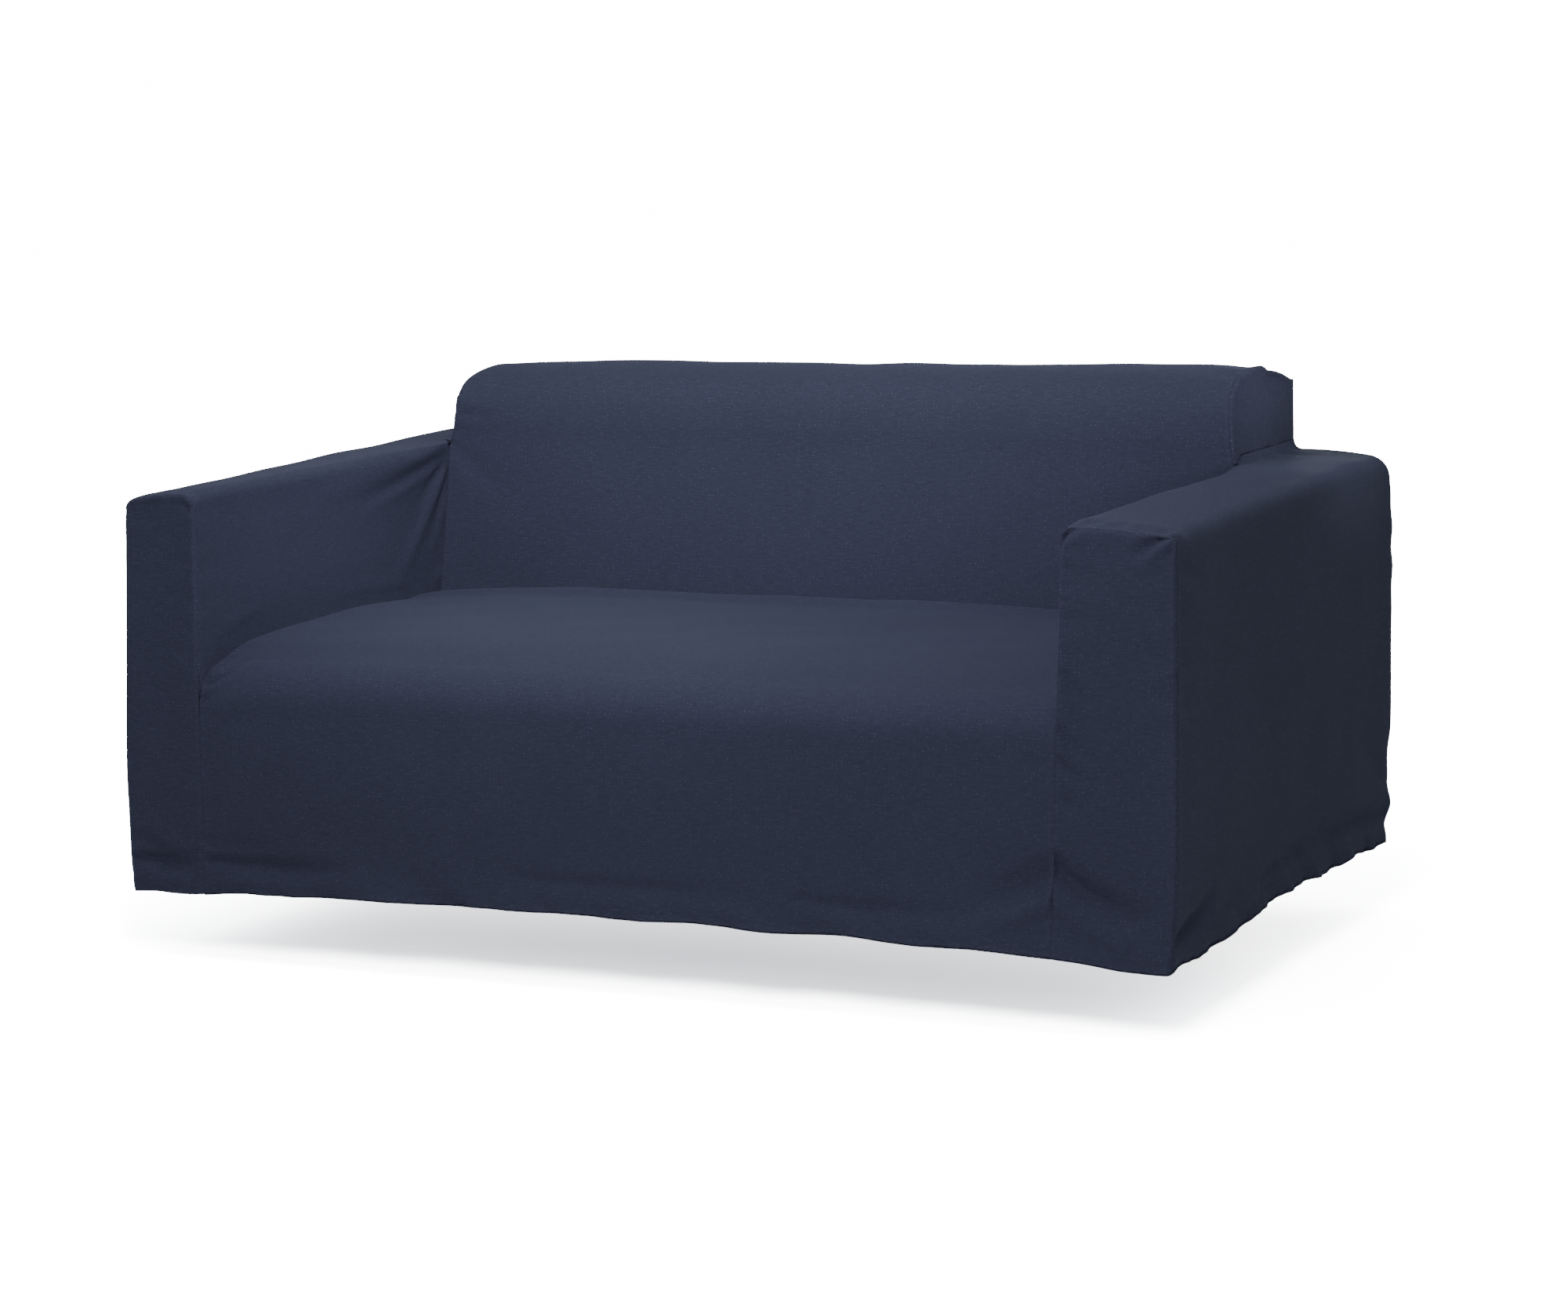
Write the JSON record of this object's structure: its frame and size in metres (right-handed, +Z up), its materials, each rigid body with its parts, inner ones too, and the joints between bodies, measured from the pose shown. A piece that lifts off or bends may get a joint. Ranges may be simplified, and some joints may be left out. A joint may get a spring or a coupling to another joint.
{
  "type": "sofa slipcover",
  "caption": "Fitted plain cloth slipcover for a compact two-seater sofa with square arms, hollow and open below, hanging as worn.",
  "frame": {"origin": "centre of the cover's footprint, at the lowest point of its hem", "axes": "+X to the right seen from the front, along the cover's length; +Y from front to back; +Z up"},
  "size_m": [1.5042, 0.9022, 0.6771],
  "materials": {
    "canvas_navy": "plain woven cotton canvas, dark navy"
  },
  "bodies": {
    "root": {"seat_apron": "canvas_navy", "inside_back": "canvas_navy", "outside_back": "canvas_navy", "arm_left": "canvas_navy", "arm_right": "canvas_navy", "arm_front_left": "canvas_navy", "arm_front_right": "canvas_navy", "back_end_left": "canvas_navy", "back_end_right": "canvas_navy"}
  },
  "joints": []
}
